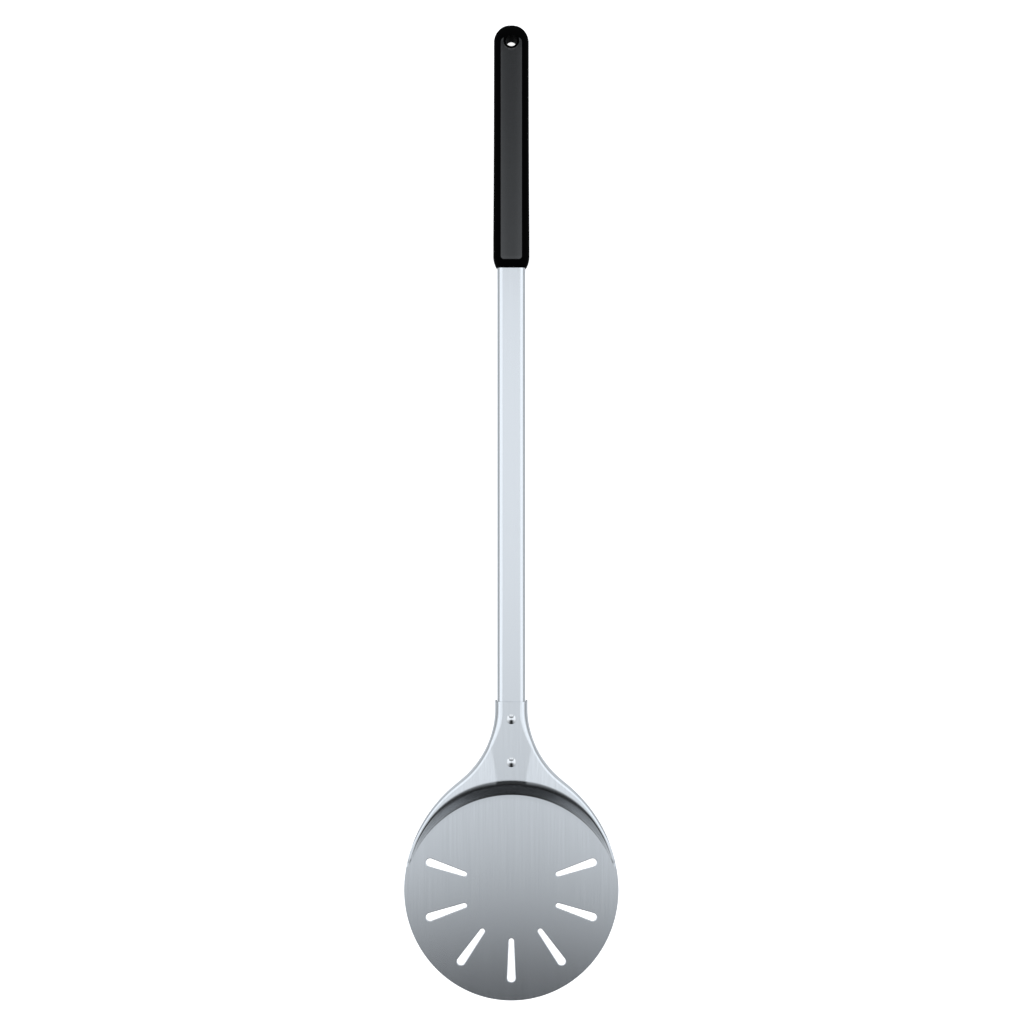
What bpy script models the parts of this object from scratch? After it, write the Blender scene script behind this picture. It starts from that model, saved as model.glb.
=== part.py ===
"""Pizza turning peel: a perforated round head on a riveted tube handle with a moulded grip.

Metres, +Z up. The peel lies flat: the underside of its blade is at z = 0, the blade's
centre is the origin and the handle runs along +Y. Every piece is symmetrical about x = 0.
"""
from math import acos, atan, atan2, cos, pi, sin, sqrt

import bmesh
import bpy
from mathutils import Matrix, Vector

MM = 0.001
GAP = 0.3 * MM              # clearance between pieces that touch on the real peel

# Head: one stamped sheet
SHEET = 1.5 * MM
BLADE_HALF_WIDTH = 89.0 * MM
BLADE_HALF_LENGTH = 91.85 * MM
NECK_TOP = 19.3 * MM        # upper face of the raised neck
NECK_HALF_WIDTH = 13.3 * MM
NECK_END_Y = 158.4 * MM
HOLLOW_Y = 152.2 * MM       # where the straight neck starts to flare
HOLLOW_R = 77.7 * MM        # concave arc of the flare
SHOULDER_R = 117.1 * MM     # convex arc from the flare to the blade's rim
RIM_ANGLE = 6.0 * pi / 180  # where the shoulder arc meets the rim, up from the x axis
WING_Y = 20.9 * MM          # where step, shoulders and flange run out into the rim
WING_MARGIN = 1.5 * MM      # spread of the step's edges at the wing tips
STEP_TOP_Y = 95.3 * MM      # top and foot of the step on the centre line, fillets included
STEP_FOOT_Y = 78.7 * MM
CREST_END_X = 83.4 * MM     # half-width of the step's crest at the wing tips
CREST_FILLET = 0.45         # shares of the step's run taken by its fillets
FOOT_FILLET = 0.2
CREST_RUNOUT = (0.85, 1.0)  # share of the crest over which it runs out into the flange
FOLD_X = 12.1 * MM          # a fold bounds the neck's flat top and splays towards the grip
FOLD_Y = 93.5 * MM
FOLD_SPLAY = 0.191
FOLD_SOFTNESS = 0.8 * MM
SKIRT_END_Z = 7.0 * MM      # lower edge of the flange at the neck's end
LEAST_FLANGE = 0.1 * MM     # a shallower flange is left out
TUBE_CORNER = 4.5 * MM
NECK_BEND = TUBE_CORNER + GAP + SHEET
SHOULDER_BEND = 3.0 * MM
WING_BEND = 1.8 * MM
NECK_BLEND_Y = (115.0 * MM, 150.0 * MM)
WING_BLEND_Y = (22.0 * MM, 105.0 * MM)

# Mesh of the sheet
NECK_COLUMNS = 3
SHOULDER_COLUMNS = 18
SHOULDER_POWER = 0.8        # puts the shoulder's columns closer together at the wing tips
RAISED_ROWS = 6
STEP_ROWS = 7
FLOOR_ROWS = 18
FLOOR_ROW_POWER = 1.5       # how fast the floor's rows straighten towards the tip
BEND_STEPS = 4

# Slots: a ring of ten places with the three nearest the neck left out
SLOT_PLACES = 10
SLOT_COUNT = 7
SLOT_STRETCH = BLADE_HALF_LENGTH / BLADE_HALF_WIDTH
SLOT_INNER_R = 41.0 * MM    # centres of the two round ends
SLOT_OUTER_R = 71.0 * MM
SLOT_INNER_HALF = 1.95 * MM
SLOT_OUTER_HALF = 3.3 * MM

# Handle tube and the block in its front end
TUBE_HALF_WIDTH = 11.5 * MM
TUBE_HALF_DEPTH = 7.0 * MM
TUBE_WALL = 1.5 * MM
TUBE_FRONT_Y = 99.0 * MM
TUBE_REAR_Y = 652.0 * MM
TUBE_Z = NECK_TOP - SHEET - GAP - TUBE_HALF_DEPTH
INSERT_END_Y = 158.0 * MM

# Rivets and their washers
RIVET_Y = {"front": 109.0 * MM, "rear": 144.2 * MM}
RIVET_HEAD_R = 4.0 * MM
RIVET_DOME = 1.4 * MM
DOME_STEPS = 6
RIVET_SHANK_R = 2.0 * MM
RIVET_TAIL_R = 3.2 * MM
RIVET_TAIL = 1.0 * MM
WASHER_R = 4.2 * MM
WASHER_THICK = 0.8 * MM
SHANK_HOLE_R = RIVET_SHANK_R + GAP

# Grip
GRIP_MOUTH_Y = 513.8 * MM
GRIP_END_Y = 713.8 * MM
GRIP_END_R = 14.3 * MM
GRIP_SWELL = 0.58 * MM      # how much wider each side is at the mouth end
GRIP_SWELL_RUN = 160.0 * MM
GRIP_HALF_DEPTH = 10.25 * MM
GRIP_SECTION = 3.4          # superellipse exponent of the cross-section
MOUTH_ROUND = 9.0 * MM      # length of the rounded chamfer at the mouth
MOUTH_DROP = 3.4 * MM       # how far it comes in at the sides
MOUTH_SINK = 2.2 * MM       # and at the faces
MOUTH_POWER = 1.5
NOSE_RUN = 22.0 * MM        # length over which the hanging end rolls off
NOSE_POWER = 2.4
NOSE_CAP = 0.05 * MM        # the last station stops this far short of the end
MOUTH_STATIONS = 6
STRAIGHT_STATIONS = 8
NOSE_STATIONS = 12
SOCKET_END_Y = TUBE_REAR_Y + GAP
HANG_Y = 698.8 * MM
HANG_R = 4.6 * MM
HANG_SINK_R = 5.1 * MM      # countersink at the grip's faces
HANG_SINK = 0.5 * MM
BOSS_R = 6.5 * MM           # plain ring left round the hanging hole

# Textured inlays in both faces of the grip
INLAY_HALF_WIDTH = 8.6 * MM
INLAY_START_Y = 520.3 * MM
INLAY_CORNER = 2.6 * MM
INLAY_END_Y = HANG_Y + 2.5 * MM  # two horns run up beside the hanging hole to here
HORN_CORNER = 3.5 * MM
INLAY_THICK = 1.0 * MM
INLAY_COLUMNS = 10
INLAY_STATIONS = 10
CORNER_STATIONS = 4

# Spring pins through grip and tube, under the inlays
PIN_Y = {"front": 560.0 * MM, "rear": 630.0 * MM}
PIN_R = 1.5 * MM
PIN_HALF_LENGTH = 8.4 * MM
PIN_CHAMFER = 0.4 * MM

ROUND = 32                  # sides of a round piece
CUTTER_LENGTH = 60.0 * MM   # more than any hole is deep
OVERCUT = 2.0 * MM          # how far the grip's cutters rise above its surface
WELD = 0.001 * MM           # points closer than this become one
SHARP = pi / 6              # steeper edges are drawn sharp
HALF_SIDE = pi / ROUND      # turns a hole's corners off the centre line
HOLE_MARGIN = 6.0 * MM      # half-length of the stretch of tube wall round a hole


# ---------------------------------------------------------------- scene helpers

def clear_scene():
    for obj in list(bpy.data.objects):
        bpy.data.objects.remove(obj, do_unlink=True)


def new_collection(name):
    collection = bpy.data.collections.new(name)
    bpy.context.scene.collection.children.link(collection)
    return collection


def material(name, colour, roughness, metallic=0.0):
    mat = bpy.data.materials.new(name)
    mat.use_nodes = True
    shader = mat.node_tree.nodes["Principled BSDF"]
    shader.inputs["Base Color"].default_value = (*colour, 1.0)
    shader.inputs["Roughness"].default_value = roughness
    shader.inputs["Metallic"].default_value = metallic
    return mat


def add_part(name, bm, mat):
    """Turn a bmesh into a part with its own material."""
    mesh = bpy.data.meshes.new(name)
    bm.to_mesh(mesh)
    bm.free()
    mesh.materials.append(mat)
    mesh.shade_smooth()
    mesh.set_sharp_from_angle(angle=SHARP)
    obj = bpy.data.objects.new(name, mesh)
    parts.objects.link(obj)
    return obj


def make_cutter(obj):
    """Move an object to the cutters, so that it is only a tool."""
    parts.objects.unlink(obj)
    cutters.objects.link(obj)
    obj.hide_render = True
    obj.display_type = "WIRE"
    return obj


def cut(obj, cutter):
    boolean = obj.modifiers.new("cut_" + cutter.name, "BOOLEAN")
    boolean.operation = "DIFFERENCE"
    boolean.object = cutter


def solidify(obj, thickness):
    """Thicken an open sheet away from its outer face."""
    shell = obj.modifiers.new("thickness", "SOLIDIFY")
    shell.thickness = thickness
    shell.offset = -1.0
    shell.use_quality_normals = True


def mirror(obj):
    """Complete a half that is open at x = 0."""
    half = obj.modifiers.new("other_half", "MIRROR")
    half.use_axis = (True, False, False)
    half.use_clip = True
    half.merge_threshold = WELD


# ---------------------------------------------------------------- shape helpers

def loft(*grids, closed=False):
    """Skin neighbouring rows of points with quads; a closed row is a ring."""
    bm = bmesh.new()
    for rows in grids:
        grid = [[bm.verts.new(point) for point in row] for row in rows]
        count = len(rows[0])
        for upper, lower in zip(grid, grid[1:]):
            for i in range(count if closed else count - 1):
                j = (i + 1) % count
                bm.faces.new((upper[i], lower[i], lower[j], upper[j]))
        if closed:
            bm.faces.new(grid[0])
            bm.faces.new(reversed(grid[-1]))
    bmesh.ops.remove_doubles(bm, verts=bm.verts, dist=WELD)
    return bm


def extrude(bm, height):
    """Close a sheet or a flat outline by extruding it along z."""
    extruded = bmesh.ops.extrude_face_region(bm, geom=list(bm.faces))["geom"]
    moved = [item for item in extruded if isinstance(item, bmesh.types.BMVert)]
    bmesh.ops.translate(bm, verts=moved, vec=(0.0, 0.0, height))
    bmesh.ops.recalc_face_normals(bm, faces=bm.faces)


def turned(name, profile, mat, closed=False):
    """Spin an (r, z) profile, given down its outer side, about the z axis."""
    bm = bmesh.new()
    points = [bm.verts.new((r, 0.0, z)) for r, z in profile]
    if closed:
        points.append(points[0])
    for start, end in zip(points, points[1:]):
        bm.edges.new((start, end))
    obj = add_part(name, bm, mat)
    screw = obj.modifiers.new("turn", "SCREW")
    screw.steps = screw.render_steps = ROUND
    screw.use_merge_vertices = True
    screw.merge_threshold = WELD
    screw.use_normal_calculate = False
    return obj


def rounded_rectangle(half_width, half_depth, corner, steps=6):
    """Points of a rounded rectangle, anticlockwise."""
    points = []
    for quarter in range(4):
        side_x = 1 if quarter in (0, 3) else -1
        side_y = 1 if quarter in (0, 1) else -1
        for k in range(steps + 1):
            angle = (quarter + k / steps) * pi / 2
            x = side_x * (half_width - corner) + corner * cos(angle)
            y = side_y * (half_depth - corner) + corner * sin(angle)
            points.append((x, y))
    return points


def flat_extrusion(name, outlines, half_length, mat, joints=()):
    """Extrude closed outlines, the first solid and the rest holes in it, along local z.

    The sides are divided at each of the joints, so that no face is long and thin.
    """
    curve = bpy.data.curves.new(name + "_outline", "CURVE")
    curve.dimensions = "2D"
    curve.fill_mode = "BOTH"
    curve.extrude = half_length
    for outline in outlines:
        spline = curve.splines.new("POLY")
        spline.points.add(len(outline) - 1)
        for point, (x, y) in zip(spline.points, outline):
            point.co = (x, y, 0.0, 1.0)
        spline.use_cyclic_u = True
    drawn = bpy.data.objects.new(name + "_outline", curve)
    parts.objects.link(drawn)
    evaluated = drawn.evaluated_get(bpy.context.evaluated_depsgraph_get())
    mesh = bpy.data.meshes.new_from_object(evaluated)
    bm = bmesh.new()
    bm.from_mesh(mesh)
    bmesh.ops.remove_doubles(bm, verts=bm.verts, dist=WELD)
    bmesh.ops.recalc_face_normals(bm, faces=bm.faces)
    for z in joints:
        bmesh.ops.bisect_plane(bm, geom=[*bm.verts, *bm.edges, *bm.faces],
                               plane_co=(0.0, 0.0, z), plane_no=(0.0, 0.0, 1.0))
    bpy.data.objects.remove(drawn, do_unlink=True)
    bpy.data.curves.remove(curve)
    bpy.data.meshes.remove(mesh)
    return add_part(name, bm, mat)


def box_tube(name, half_width, half_depth, corner, span, mat, wall=None, holes=()):
    """Rounded rectangular bar along the handle, or a tube if a wall is given."""
    outlines = [rounded_rectangle(half_width, half_depth, corner)]
    if wall:
        outlines.append(rounded_rectangle(half_width - wall, half_depth - wall, corner - wall))
    front_y, rear_y = span
    middle_y = (front_y + rear_y) / 2
    joints = [middle_y - y + side * HOLE_MARGIN for y in holes for side in (-1, 1)]
    obj = flat_extrusion(name, outlines, (rear_y - front_y) / 2, mat, joints)
    obj.rotation_euler = (pi / 2, 0.0, 0.0)
    obj.location = (0.0, middle_y, TUBE_Z)
    return obj


def hole_cutters(name, stations, radius):
    """One cutter with a vertical round hole at each station along the handle."""
    bm = bmesh.new()
    for y in stations:
        place = Matrix.Translation((0.0, y, TUBE_Z)) @ Matrix.Rotation(HALF_SIDE, 4, "Z")
        bmesh.ops.create_cone(bm, cap_ends=True, segments=ROUND, radius1=radius, radius2=radius,
                              depth=CUTTER_LENGTH, matrix=place)
    return make_cutter(add_part(name, bm, cutter_material))


def soft_min(a, b, width):
    """The lower of two heights, with the corner between them rounded off."""
    overlap = max(width - abs(a - b), 0.0) / width
    return min(a, b) - overlap * overlap * width / 4


def smooth_step(value, low, high):
    t = min(max((value - low) / (high - low), 0.0), 1.0)
    return t * t * (3 - 2 * t)


# ---------------------------------------------------------------- head

def shoulder_geometry():
    """Centres of the two shoulder arcs, and the straight line that touches both."""
    rim = Vector((BLADE_HALF_WIDTH * cos(RIM_ANGLE), BLADE_HALF_LENGTH * sin(RIM_ANGLE)))
    outward = Vector((rim.x / BLADE_HALF_WIDTH ** 2, rim.y / BLADE_HALF_LENGTH ** 2)).normalized()
    convex = rim - SHOULDER_R * outward
    concave = Vector((NECK_HALF_WIDTH + HOLLOW_R, HOLLOW_Y))
    across = concave - convex
    heading = atan2(across.y, across.x) - acos((SHOULDER_R + HOLLOW_R) / across.length)
    normal = Vector((cos(heading), sin(heading)))
    return convex, concave, normal, rim.y


def head_edge(y):
    """Point and outward normal of the head's outline at height y on neck or shoulder."""
    convex, concave, normal, rim_y = shoulder_geometry()
    line_top = concave - HOLLOW_R * normal
    line_foot = convex + SHOULDER_R * normal
    if y >= HOLLOW_Y:
        return Vector((NECK_HALF_WIDTH, y)), Vector((1.0, 0.0))
    if y >= line_top.y:
        point = Vector((concave.x - sqrt(HOLLOW_R ** 2 - (y - concave.y) ** 2), y))
        return point, (concave - point) / HOLLOW_R
    if y >= line_foot.y:
        share = (y - line_foot.y) / (line_top.y - line_foot.y)
        return line_foot.lerp(line_top, share), normal
    if y >= rim_y:
        point = Vector((convex.x + sqrt(SHOULDER_R ** 2 - (y - convex.y) ** 2), y))
        return point, (point - convex) / SHOULDER_R
    raise ValueError("below the shoulder")


def rim_edge(angle):
    """Point and outward normal of the blade's elliptical rim."""
    point = Vector((BLADE_HALF_WIDTH * cos(angle), BLADE_HALF_LENGTH * sin(angle)))
    slope = Vector((cos(angle) / BLADE_HALF_WIDTH, sin(angle) / BLADE_HALF_LENGTH))
    return point, slope.normalized()


def past_fold(point):
    """How far a point lies outside the fold that bounds the neck's flat top."""
    return (point.x - FOLD_X - FOLD_SPLAY * (point.y - FOLD_Y)) * cos(atan(FOLD_SPLAY))


def facet_fall():
    """Slope of the facets, which run from the folds down to the wing tips."""
    wing_tip, normal = head_edge(WING_Y)
    return (NECK_TOP - SHEET) / past_fold(wing_tip - SHOULDER_BEND * normal)


def raised_height(point, fall):
    """Upper face of the neck's flat top and of the facets falling to the wing tips."""
    facet = NECK_TOP - fall * past_fold(point)
    return -soft_min(-soft_min(NECK_TOP, facet, FOLD_SOFTNESS), -SHEET, FOLD_SOFTNESS)


def step_ramp(share):
    """Share of the step's height at a share of its run: a fillet at the foot, a soft crest."""
    slope = 1 / (1 - FOOT_FILLET / 2 - CREST_FILLET * 2 / 3)
    if share < FOOT_FILLET:
        return slope * share ** 2 / (2 * FOOT_FILLET)
    if share > 1 - CREST_FILLET:
        return 1 - slope * (1 - share) ** 3 / (3 * CREST_FILLET ** 2)
    return slope * (share - FOOT_FILLET / 2)


def bend_radius(y):
    """Outer radius of the flange's bend: it follows the tube and tightens to the wing tips."""
    return (WING_BEND + (SHOULDER_BEND - WING_BEND) * smooth_step(y, *WING_BLEND_Y)
            + (NECK_BEND - SHOULDER_BEND) * smooth_step(y, *NECK_BLEND_Y))


def inner_edge(edge, normal):
    """Where the sheet's flat part ends and the flange's bend begins."""
    return edge - bend_radius(edge.y) * normal


def arc_through(end, middle_y):
    """Turn and radius of the arc that leaves the centre line square and reaches a point."""
    turn = 2 * atan2(middle_y - end.y, end.x)
    return turn, end.x / sin(turn)


def row_point(end, middle_y, share):
    """Point on the arc that leaves the centre line square and ends at a point."""
    turn, radius = arc_through(end, middle_y)
    return Vector((radius * sin(share * turn), middle_y - radius * (1 - cos(share * turn))))


def raised_columns():
    """Columns of the raised part: (share of the crest, crest, end, edge) from the centre out.

    Each column is a spoke of the circle that the step's crest follows. It ends on the
    neck's cut end, where there is no edge, or at the flange's bend.
    """
    wing_y = WING_Y + WING_MARGIN
    corner_x = inner_edge(*head_edge(NECK_END_Y)).x
    ends = [(Vector((corner_x * k / NECK_COLUMNS, NECK_END_Y)), None)
            for k in range(NECK_COLUMNS)]
    for k in range(SHOULDER_COLUMNS + 1):
        share = (k / SHOULDER_COLUMNS) ** SHOULDER_POWER
        edge = head_edge(NECK_END_Y + (wing_y - NECK_END_Y) * share)
        ends.append((inner_edge(*edge), edge))
    _, radius = arc_through(Vector((CREST_END_X, wing_y)), STEP_TOP_Y)
    centre = Vector((0.0, STEP_TOP_Y - radius))
    spokes = [end - centre for end, _ in ends]
    last_turn = atan2(spokes[-1].x, spokes[-1].y)
    columns = []
    for spoke, (end, edge) in zip(spokes, ends):
        share = atan2(spoke.x, spoke.y) / last_turn
        reach = min(radius / spoke.length, 1.0)
        reach += (1 - reach) * smooth_step(share, *CREST_RUNOUT)
        columns.append((share, centre + spoke * reach, end, edge))
    return columns


def floor_edges():
    """(edge point, normal) from the wing's foot to the blade's tip."""
    foot_y = WING_Y - WING_MARGIN
    rim_y = shoulder_geometry()[3]
    edges = [head_edge((foot_y + rim_y) / 2)]
    return edges + [rim_edge(RIM_ANGLE - (RIM_ANGLE + pi / 2) * k / FLOOR_ROWS)
                    for k in range(FLOOR_ROWS + 1)]


def floor_middle(end_y, foot_y):
    """Where a floor row crosses the centre line, between the step's foot and the tip."""
    share = (BLADE_HALF_LENGTH + end_y) / (BLADE_HALF_LENGTH + foot_y)
    return end_y + (STEP_FOOT_Y - foot_y) * max(share, 0.0) ** FLOOR_ROW_POWER


def flange_profile(depth, bend):
    """(outward, down) steps from the sheet's flat edge round the bend to the flange's edge."""
    angle = acos(max(1 - depth / bend, 0.0))
    flat = bend * (1 - sin(angle))
    profile = [(flat, 0.0)]
    for k in range(1, BEND_STEPS + 1):
        turn = angle * k / BEND_STEPS
        profile.append((flat + bend * sin(turn), bend * (1 - cos(turn))))
    return profile + [(bend, max(depth, profile[-1][1]))]


def head_grids():
    """Half of the sheet's upper face: a grid for the face and one for its flange.

    Rows of the face run outwards from the centre line, first on the raised part, then
    down the step, then over the floor to the tip.
    """
    fall = facet_fall()

    def place(plan, lift, down=0.0):
        height = SHEET + lift * (raised_height(plan, fall) - SHEET)
        return max(plan.x, 0.0), plan.y, height - down

    def flange(edge, lift):
        point, normal = edge
        bend = bend_radius(point.y)
        inner = inner_edge(point, normal)
        run = (point.y - WING_Y) / (NECK_END_Y - WING_Y)
        low = SHEET + (SKIRT_END_Z - SHEET) * max(run, 0.0)
        depth = place(point, lift)[2] - low
        if depth < LEAST_FLANGE:
            depth = 0.0
        return [place(inner, lift)] + [place(inner + out * normal, lift, down)
                                       for out, down in flange_profile(depth, bend)]

    columns = raised_columns()
    shares = [share for share, *_ in columns]
    face = []
    for k in range(RAISED_ROWS):
        face.append([place(end.lerp(crest, k / RAISED_ROWS), 1.0)
                     for _, crest, end, _ in columns])
    skirt = [flange(edge, 1.0) for *_, edge in columns[:-1] if edge]
    top_y = WING_Y + WING_MARGIN
    foot_y = WING_Y - WING_MARGIN
    foot_end = inner_edge(*head_edge(foot_y))
    foot = [row_point(foot_end, STEP_FOOT_Y, share) for share in shares]
    for k in range(STEP_ROWS + 1):
        share = k / STEP_ROWS
        lift = step_ramp(1 - share)
        edge = head_edge(top_y + (foot_y - top_y) * share)
        row = [crest.lerp(low, share) for (_, crest, _, _), low in zip(columns, foot)]
        face.append([place(point, lift) for point in [*row[:-1], inner_edge(*edge)]])
        skirt.append(flange(edge, lift))
    for edge in floor_edges():
        end = inner_edge(*edge)
        middle_y = floor_middle(end.y, foot_end.y)
        face.append([place(row_point(end, middle_y, share), 0.0) for share in shares])
        skirt.append(flange(edge, 0.0))
    return face, skirt


def slot_outline(steps=8):
    """A slot's outline with its length along x: two round ends of unlike radius."""
    length = SLOT_OUTER_R - SLOT_INNER_R
    lean = acos((SLOT_INNER_HALF - SLOT_OUTER_HALF) / length)
    points = []
    for k in range(steps + 1):
        angle = lean + (2 * pi - 2 * lean) * k / steps
        points.append((SLOT_INNER_R + SLOT_INNER_HALF * cos(angle), SLOT_INNER_HALF * sin(angle)))
    for k in range(steps + 1):
        angle = -lean + 2 * lean * k / steps
        points.append((SLOT_OUTER_R + SLOT_OUTER_HALF * cos(angle), SLOT_OUTER_HALF * sin(angle)))
    return points


def slot_cutters():
    """All slots as one cutter, laid out on a circle and stretched to the oblong blade."""
    bm = bmesh.new()
    for place in range(SLOT_COUNT):
        turn = Matrix.Rotation(-pi / 2 + (place - SLOT_COUNT // 2) * 2 * pi / SLOT_PLACES, 3, "Z")
        base = [turn @ Vector((x, y, -SHEET)) for x, y in slot_outline()]
        bm.faces.new([bm.verts.new((p.x, p.y * SLOT_STRETCH, p.z)) for p in base])
    extrude(bm, 3 * SHEET)
    return make_cutter(add_part("slot_cutter", bm, cutter_material))


def make_head():
    head = add_part("head", loft(*head_grids()), brushed_aluminium)
    mirror(head)
    solidify(head, SHEET)
    cut(head, slot_cutters())
    cut(head, rivet_holes)


# ---------------------------------------------------------------- handle

def make_tube():
    tube = box_tube("handle_tube", TUBE_HALF_WIDTH, TUBE_HALF_DEPTH, TUBE_CORNER,
                    (TUBE_FRONT_Y, TUBE_REAR_Y), anodised_aluminium, TUBE_WALL,
                    [*RIVET_Y.values(), *PIN_Y.values()])
    cut(tube, rivet_holes)
    cut(tube, pin_holes)


def make_neck_insert():
    inset = TUBE_WALL + GAP
    insert = box_tube("neck_insert", TUBE_HALF_WIDTH - inset, TUBE_HALF_DEPTH - inset,
                      TUBE_CORNER - inset, (TUBE_FRONT_Y, INSERT_END_Y), insert_nylon,
                      holes=RIVET_Y.values())
    cut(insert, rivet_holes)


def make_rivets():
    head_z = NECK_TOP + GAP
    washer_top = TUBE_Z - TUBE_HALF_DEPTH - GAP
    tail_top = washer_top - WASHER_THICK - GAP
    dome_r = (RIVET_HEAD_R ** 2 + RIVET_DOME ** 2) / (2 * RIVET_DOME)
    dome_turn = atan2(RIVET_HEAD_R, dome_r - RIVET_DOME)
    profile = []
    for k in range(DOME_STEPS + 1):
        turn = dome_turn * k / DOME_STEPS
        profile.append((dome_r * sin(turn), head_z + RIVET_DOME - dome_r * (1 - cos(turn))))
    profile += [(RIVET_SHANK_R, head_z), (RIVET_SHANK_R, tail_top), (RIVET_TAIL_R, tail_top),
                (RIVET_TAIL_R - RIVET_TAIL / 2, tail_top - RIVET_TAIL), (0.0, tail_top - RIVET_TAIL)]
    washer_foot = washer_top - WASHER_THICK
    ring = [(SHANK_HOLE_R, washer_top), (WASHER_R, washer_top),
            (WASHER_R, washer_foot), (SHANK_HOLE_R, washer_foot)]
    for place, y in RIVET_Y.items():
        turned("rivet_" + place, profile, polished_aluminium).location.y = y
        turned("rivet_washer_" + place, ring, washer_steel, closed=True).location.y = y


# ---------------------------------------------------------------- grip

def grip_half_width(y):
    """Half-width of the grip in plan: round hanging end, slight swell, rounded mouth."""
    end_centre = GRIP_END_Y - GRIP_END_R
    if y > end_centre:
        return sqrt(max(GRIP_END_R ** 2 - (y - end_centre) ** 2, 0.0))
    swell = min((end_centre - y) / GRIP_SWELL_RUN, 1.0)
    return GRIP_END_R + GRIP_SWELL * swell ** 2 - MOUTH_DROP * mouth_rounding(y)


def mouth_rounding(y):
    """0 along the grip and 1 at its mouth, following a rounded chamfer."""
    share = max(1 - (y - GRIP_MOUTH_Y) / MOUTH_ROUND, 0.0)
    return 1 - (1 - share ** MOUTH_POWER) ** (1 / MOUTH_POWER)


def grip_half_depth(y):
    """Half-thickness of the grip: constant, rolling off at the hanging end and the mouth."""
    nose = max((y - GRIP_END_Y) / NOSE_RUN + 1, 0.0)
    roll = (1 - min(nose, 1.0) ** NOSE_POWER) ** (1 / NOSE_POWER)
    return GRIP_HALF_DEPTH * roll - MOUTH_SINK * mouth_rounding(y)


def grip_surface(x, y):
    """Height of the grip's face above its middle plane."""
    across = min(abs(x) / grip_half_width(y), 1.0)
    return grip_half_depth(y) * (1 - across ** GRIP_SECTION) ** (1 / GRIP_SECTION)


def grip_ring(y):
    """One cross-section of the grip."""
    ring = []
    for k in range(ROUND):
        angle = 2 * pi * k / ROUND
        x, z = cos(angle), sin(angle)
        size = (abs(x) ** GRIP_SECTION + abs(z) ** GRIP_SECTION) ** (1 / GRIP_SECTION)
        ring.append((grip_half_width(y) * x / size, y, TUBE_Z + grip_half_depth(y) * z / size))
    return ring


def grip_stations():
    """Stations along the grip, closer together where its ends are rounded."""
    quarter = pi / 2
    mouth = [GRIP_MOUTH_Y + MOUTH_ROUND * (1 - cos(quarter * k / MOUTH_STATIONS))
             for k in range(MOUTH_STATIONS + 1)]
    straight_end = GRIP_END_Y - NOSE_RUN
    straight = [mouth[-1] + (straight_end - mouth[-1]) * k / STRAIGHT_STATIONS
                for k in range(1, STRAIGHT_STATIONS + 1)]
    nose = [straight_end + NOSE_RUN * sin(quarter * k / NOSE_STATIONS)
            for k in range(1, NOSE_STATIONS)]
    return mouth + straight + nose + [GRIP_END_Y - NOSE_CAP]


def inlay_half_width(y, margin):
    """Half-width of the inlay's outline, a rectangle with small and large round corners."""
    half = INLAY_HALF_WIDTH + margin
    corner = INLAY_CORNER + margin
    start = INLAY_START_Y - margin
    if y < start + corner:
        return half - corner + sqrt(max(corner ** 2 - (start + corner - y) ** 2, 0.0))
    corner = HORN_CORNER + margin
    end = INLAY_END_Y + margin
    if y > end - corner:
        return half - corner + sqrt(max(corner ** 2 - (y - end + corner) ** 2, 0.0))
    return half


def inlay_sheet(name, side, margin, lift, thickness, mat):
    """A curved plate that follows the grip's face; side is +1 for the top and -1 below."""
    start = INLAY_START_Y - margin
    end = INLAY_END_Y + margin
    front, rear = INLAY_CORNER + margin, HORN_CORNER + margin
    straight = end - rear - start - front
    stations = [start + front * (1 - cos(pi / 2 * k / CORNER_STATIONS))
                for k in range(CORNER_STATIONS)]
    stations += [start + front + straight * k / INLAY_STATIONS for k in range(INLAY_STATIONS)]
    stations += [end - rear * (1 - sin(pi / 2 * k / CORNER_STATIONS))
                 for k in range(CORNER_STATIONS + 1)]
    rows = []
    for y in reversed(stations):
        half = inlay_half_width(y, margin)
        across = [half * (2 * k / INLAY_COLUMNS - 1) for k in range(INLAY_COLUMNS + 1)]
        rows.append([(x, y, TUBE_Z + side * (grip_surface(x, y) + lift)) for x in across])
    bm = loft(rows)
    extrude(bm, -side * thickness)
    return add_part(name, bm, mat)


def make_grip():
    body = add_part("grip_body", loft([grip_ring(y) for y in grip_stations()], closed=True),
                    grip_nylon)
    socket = box_tube("socket_cutter", TUBE_HALF_WIDTH + GAP, TUBE_HALF_DEPTH + GAP,
                      TUBE_CORNER + GAP, (GRIP_MOUTH_Y - OVERCUT, SOCKET_END_Y), cutter_material)
    cut(body, make_cutter(socket))
    boss = hole_cutters("boss_cutter", [HANG_Y], BOSS_R)
    inlay_hole = hole_cutters("inlay_hole_cutter", [HANG_Y], BOSS_R + GAP)
    for place, side in (("front", 1), ("back", -1)):
        inlay = inlay_sheet("grip_inlay_" + place, side, 0.0, 0.0, INLAY_THICK, inlay_rubber)
        cut(inlay, inlay_hole)
        recess = inlay_sheet("recess_cutter_" + place, side, GAP, OVERCUT,
                             OVERCUT + INLAY_THICK + GAP, cutter_material)
        cut(recess, boss)
        cut(body, make_cutter(recess))
    cut(body, hanging_hole_cutter())
    cut(body, pin_holes)


def hanging_hole_cutter():
    """Straight bore with a countersink opening out at both faces."""
    face = grip_half_depth(HANG_Y)
    flare = (HANG_SINK_R - HANG_R) / HANG_SINK
    wide = HANG_R + flare * (HANG_SINK + OVERCUT)
    profile = [(0.0, face + OVERCUT), (wide, face + OVERCUT), (HANG_R, face - HANG_SINK),
               (HANG_R, HANG_SINK - face), (wide, -face - OVERCUT), (0.0, -face - OVERCUT)]
    cutter = turned("hanging_hole_cutter", profile, cutter_material)
    cutter.location = (0.0, HANG_Y, TUBE_Z)
    cutter.rotation_euler.z = HALF_SIDE
    return make_cutter(cutter)


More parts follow.
